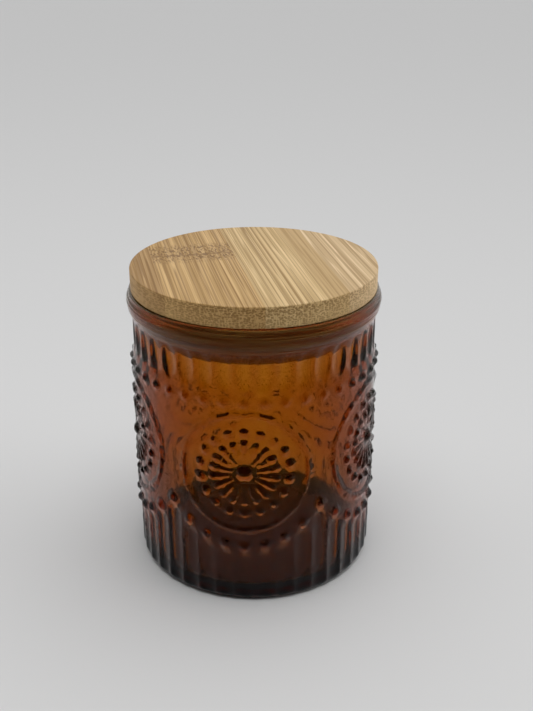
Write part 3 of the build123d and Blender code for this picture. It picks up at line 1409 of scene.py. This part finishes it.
@dataclass(frozen=True)
class Silicone:
    """Milky silicone, soft and a little cloudy."""

    colour: Colour = tone(240, 237, 228)
    cloud: float = 5.5556
    cloud_shade: float = 0.86
    roughness: float = 0.42
    milk: float = 0.25
    milk_depth: float = 2.0

    def material(self) -> bpy.types.Material:
        """The silicone's shader, with a faint cloud in its colour.

        Returns:
            The material.
        """
        material, shader = new_material("silicone")
        cloud = noise(object_spot(material.node_tree), (self.cloud,) * 3)
        darker = tuple(value * self.cloud_shade for value in self.colour[:3]) + (1.0,)
        feed(shader, Base_Color=mix(cloud, darker, self.colour))
        shader.inputs["Roughness"].default_value = self.roughness
        shader.inputs["Subsurface Weight"].default_value = self.milk
        shader.inputs["Subsurface Radius"].default_value = (self.milk_depth * MM,) * 3
        return material


@dataclass(frozen=True)
class NodeBand:
    """Where a strip crosses one of the cane's nodes, in millimetres along the grain."""

    near: float = -22.0
    far: float = -5.0
    darkest: float = -12.0


@dataclass(frozen=True)
class Bamboo:
    """One strip of bamboo: fibres run along the grain, and show as dots where they are cut across.

    Sizes are in millimetres. The blush is a reddish stretch, given by its two sides across the grain.
    """

    name: str
    seed: float
    ground: Colour = tone(206, 174, 123)
    streak: float = 1.0
    blush: Point | None = None
    node: NodeBand | None = None
    grain_turn: float = 16.0
    top_z: float = 100.6
    radius: float = 39.0
    thickness: float = 6.7
    fibre_pitch: float = 0.8
    fibre_length: float = 70.0
    fibre_rise: float = 0.6
    fibre_relief: float = 0.02
    seed_step: float = 17.3

    def shade(self, red: float, green: float, blue: float) -> Colour:
        """The ground colour, each channel made lighter or darker by its own share."""
        return self.ground[0] * red, self.ground[1] * green, self.ground[2] * blue, 1.0

    def material(self) -> bpy.types.Material:
        """The strip's shader.

        Returns:
            The material.
        """
        material, shader = new_material(self.name)
        x, y, z = object_spot(material.node_tree)
        turn = radians(self.grain_turn)
        bare_across = x * cos(turn) + y * sin(turn)
        along = x * sin(turn) - y * cos(turn)
        across = bare_across + self.seed * self.seed_step
        across = across + (noise((across, along, z), (9.0, 120.0, 9.0), 1.0) - 0.5)
        node = self.node_share(across, along)
        if node is not None:
            jitter = noise((across, along, z), (1.3, 2.2, 2.0), 3.0, 0.7) - 0.5
            across = across + jitter * node * 1.6
        fibres = self.fibres(across, along, z)
        colour = self.streaks(across, along, z)
        if self.blush is not None:
            red = bare_across.ramp(self.blush[0] - 2.5, self.blush[0] + 1.0)
            red = red * bare_across.ramp(self.blush[1] + 2.5, self.blush[1] - 1.0)
            colour = mix(red * 0.8, colour, self.shade(0.84, 0.78, 0.7))
        if node is not None:
            colour = self.node_marks(colour, node, across, along, z)
        # The edge is darker on end grain and lighter on side grain; the lightening is partly painted side
        # light.
        colour, cut = self.edge_grain_and_painted_side_light(colour, along, z)
        colour = mix(fibres * (cut * 0.6 + 0.3), colour, self.shade(0.44, 0.37, 0.27))
        feed(shader, Base_Color=colour, Roughness=fibres * 0.12 + 0.5)
        shader.inputs["Specular IOR Level"].default_value = 0.25
        bumped(1.0 - fibres, self.fibre_relief, shader)
        return material

    def edge_grain_and_painted_side_light(self, colour: Term, along: Term, z: Term) -> tuple[Term, Term]:
        """Lighten the turned edge where it runs with the grain and darken it where it cuts across: end grain
        is darker, and the lightening is partly paler side grain and partly painted side light.

        Args:
            colour: the colour so far.
            along: distance along the grain.
            z: height.

        Returns:
            The colour, and how far the surface there is the edge, cut across the grain.
        """
        edge = z.ramp(self.top_z - 0.05, self.top_z - 0.4)
        cut = edge * (along / self.radius).squared().below(1.0)
        # Partly paler side grain, partly painted side light.
        colour = mix((edge - cut) * 0.9, colour, self.shade(1.4, 1.42, 1.45))
        return mix(cut * 0.6, colour, self.shade(0.92, 0.88, 0.8)), cut

    def streaks(self, across: Term, along: Term, z: Term) -> Term:
        """The ground with its long streaks, dark and pale, and a few hair lines.

        Args:
            across: distance across the grain.
            along: distance along the grain.
            z: height.

        Returns:
            The colour.
        """
        fine = noise((across, along, z), (0.45, 260.0, 2.0), 1.0, 0.5)
        broad = noise((across, along, z), (2.6, 200.0, 9.0), 2.0)
        lines = (noise((across, along, z), (1.9, 160.0, 6.0), 1.0) - 0.5).size()
        gaps = noise((across, along, z), (1.2, 30.0, 4.0), 1.0).ramp(0.42, 0.6)
        dark, pale = self.shade(0.64, 0.57, 0.46), self.shade(1.2, 1.22, 1.28)
        colour = mix(broad.ramp(0.44, 0.7) * (0.45 * self.streak), self.ground, dark)
        colour = mix(broad.ramp(0.5, 0.3) * (0.6 * self.streak), colour, pale)
        colour = mix(fine.ramp(0.5, 0.62) * (0.95 * self.streak), colour, dark)
        colour = mix(fine.ramp(0.5, 0.36) * (0.95 * self.streak), colour, pale)
        return mix(lines.ramp(0.045, 0.012) * gaps * 0.85, colour, self.shade(1.35, 1.42, 1.6))

    def node_marks(self, colour: Term, node: Term, across: Term, along: Term, z: Term) -> Term:
        """Short dark dashes over the node band, and its jagged darkest line.

        Args:
            colour: the colour so far.
            node: 1 inside the band and 0 away from it.
            across: distance across the grain.
            along: distance along the grain.
            z: height.

        Returns:
            The colour.
        """
        dashes = noise((across, along, z), (0.6, 2.6, 1.5), 2.0).ramp(0.48, 0.6)
        colour = mix(node * 0.45, colour, self.shade(0.86, 0.84, 0.8))
        colour = mix(node * dashes * 0.9, colour, self.shade(0.38, 0.3, 0.2))
        wave = (noise((across, along, z), (1.6, 60.0, 9.0), 3.0, 0.7) - 0.5) * 7.0
        line = (along - self.node.darkest + wave).size().ramp(1.4, 0.3)
        return mix(line * 0.75, colour, self.shade(0.45, 0.37, 0.27))

    def fibres(self, across: Term, along: Term, z: Term) -> Term:
        """The fibre bundles, wider and darker towards the top of the ply.

        Args:
            across: distance across the grain.
            along: distance along the grain.
            z: height.

        Returns:
            1 in a bundle and 0 between them.
        """
        sizes = (self.fibre_pitch, self.fibre_length, self.fibre_rise)
        cells = pattern("ShaderNodeTexVoronoi", (across, along, z), sizes, Randomness=0.8)
        distance = Term(across.tree, cells.outputs["Distance"])
        depth = (self.top_z - z) / self.thickness
        reached = 0.6 - depth.above(0.0) * 0.08
        dot = ((reached - distance) * 6.0).above(0.0).below(1.0)
        return dot * (1.0 - depth.above(0.0).below(1.0) * 0.3)

    def node_share(self, across: Term, along: Term) -> Term | None:
        """The strip's node band, with wavy sides.

        Args:
            across: distance across the grain.
            along: distance along the grain.

        Returns:
            1 inside the band and 0 away from it, or None where the strip has none.
        """
        if self.node is None:
            return None
        wave = (noise((across, along, along), (3.0, 30.0, 90.0), 3.0, 0.6) - 0.5) * 6.0
        place = along + wave
        near, far = self.node.near, self.node.far
        return place.ramp(near - 2.0, near + 3.0) * place.ramp(far + 2.0, far - 3.0)


# ---------------------------------------------------------------------------------------------------------
# The stage
# ---------------------------------------------------------------------------------------------------------


@dataclass(frozen=True)
class Panel:
    """A flat soft light. Places and sizes are in metres."""

    name: str
    place: Triple
    size: Point
    watts: float
    aim: Triple

    def hang(self) -> None:
        """Make the light, turned to its aim."""
        light = bpy.data.lights.new(self.name, "AREA")
        light.shape = "RECTANGLE"
        light.size, light.size_y = self.size
        light.energy = self.watts
        lamp = bpy.data.objects.new(self.name, light)
        lamp.location = self.place
        lamp.rotation_euler = (Vector(self.aim) - Vector(self.place)).to_track_quat("-Z", "Y").to_euler()
        bpy.context.scene.collection.objects.link(lamp)


@dataclass
class Stage:
    """Floor, light and camera. The floor is in metres, the camera in millimetres and degrees."""

    floor_side: float = 9.0
    floor_colour: Colour = tone(222, 222, 222)
    focal: float = 50.63
    film: float = 36.0
    eye: Triple = (3.98, -299.4, 201.8)
    pitch_down: float = 23.99
    turn: float = 3.9
    room_front: float = 0.06
    room_back: float = 1.0
    room_side: float = 0.4
    room_seen: float = 0.55
    dim_from: float = -0.5
    dim_to: float = -0.15
    floor_gap: float = 0.0001
    lamp: Panel = Panel("lamp", (0.0, -0.3, 0.9), (0.6, 0.5), 2.0, (0.0, -0.12, 0.0))

    def build(self) -> None:
        """Make everything that isn't the object."""
        self.floor()
        self.light()
        self.camera()

    def floor(self) -> None:
        """A plain pale floor that runs out past the view."""
        half, low = self.floor_side / 2, -self.floor_gap
        mesh = bpy.data.meshes.new("floor")
        corners = ((-half, -half), (half, -half), (half, half), (-half, half))
        mesh.from_pydata([(x, y, low) for x, y in corners], [], [(0, 1, 2, 3)])
        floor = placed("floor", mesh)
        material, shader = new_material("floor")
        shader.inputs["Base Color"].default_value = self.floor_colour
        shader.inputs["Roughness"].default_value = 1.0
        shader.inputs["Specular IOR Level"].default_value = 0.0
        mesh.materials.append(material)

    def light(self) -> None:
        """A pale room and a soft lamp overhead, in front of the object."""
        bpy.context.scene.view_settings.view_transform = "Standard"
        bpy.context.scene.world = self.room()
        self.lamp.hang()

    def room(self) -> bpy.types.World:
        """A pale room, dim in front of the object and lit behind it and at its sides.

        Returns:
            The world.
        """
        world = bpy.data.worlds.new("room")
        world.use_nodes = True
        tree = world.node_tree
        place = tree.nodes.new("ShaderNodeTexCoord")
        side, depth, _ = parted(tree, place.outputs["Generated"])
        seen = Term(tree, tree.nodes.new("ShaderNodeLightPath").outputs["Is Camera Ray"])
        light = depth.ramp(self.dim_from, self.dim_to) * (self.room_back - self.room_front) + self.room_front
        light = light * (side * self.room_side + 1.0)
        strength = light * (1.0 - seen) + seen * self.room_seen
        tree.links.new(strength.socket, tree.nodes["Background"].inputs["Strength"])
        tree.nodes["Background"].inputs["Color"].default_value = WHITE
        return world

    def camera(self) -> None:
        """The camera, at arm's length and above the lid."""
        camera = bpy.data.cameras.new("camera")
        camera.lens = self.focal
        camera.sensor_width = self.film
        camera.clip_start = 0.01
        eye = bpy.data.objects.new("camera", camera)
        turn = radians(self.turn)
        x, y, z = (value * MM for value in self.eye)
        eye.location = (x * cos(turn) - y * sin(turn), x * sin(turn) + y * cos(turn), z)
        eye.rotation_euler = (radians(90 - self.pitch_down), 0, turn)
        bpy.context.scene.collection.objects.link(eye)
        bpy.context.scene.camera = eye


# ---------------------------------------------------------------------------------------------------------
# Putting it together
# ---------------------------------------------------------------------------------------------------------


def closed(piece: bpy.types.Object) -> bool:
    """Whether a piece's surface is closed.

    Args:
        piece: the piece.

    Returns:
        True where every edge has two faces.
    """
    made = bmesh.new()
    made.from_mesh(piece.data)
    whole = all(edge.is_manifold for edge in made.edges)
    made.free()
    return whole


def hand_over(piece: bpy.types.Object, body: str, node: str) -> None:
    """Ride a piece on its body, in place of its CAD node, and log it.

    Args:
        piece: the finished piece.
        body: the body it rides on.
        node: the CAD node it stands for.
    """
    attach(piece, body)
    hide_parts(node)
    faces = sum(len(face.vertices) - 2 for face in piece.data.polygons)
    LOG.info("%s: %d triangles, closed %s, rides on %s", piece.name, faces, closed(piece), body)


def main() -> None:
    """Build the stage and every piece."""
    Stage().build()
    hand_over(GlassJar().build(AmberGlass().material()), "jar", "glass_jar")
    hand_over(SealRing().build(Silicone().material()), "seal", "seal_ring")
    lid = BambooLid()
    board = (
        Bamboo("bamboo strip 1", 1.0, tone(172, 135, 83), 0.7),
        Bamboo("bamboo strip 2", 2.0, tone(191, 154, 98), 1.0, node=NodeBand()),
        Bamboo("bamboo strip 3", 3.0, tone(203, 172, 120), 1.0, blush=(16.0, 22.0)),
        Bamboo("bamboo strip 4", 4.0, tone(206, 176, 131), 0.6),
    )
    for number, finish in enumerate(board, start=1):
        strip = lid.strip(Ply.BOARD, number, finish.material())
        hand_over(strip, "lid", f"lid_strip_{number}")
    plug = Bamboo("bamboo plug", 5.0, tone(222, 190, 140), 0.8, top_z=93.9).material()
    for number in (1, 2, 3):
        strip = lid.strip(Ply.PLUG, number, plug)
        hand_over(strip, "lid", f"plug_strip_{number}")


if __name__ == "__main__":
    main()
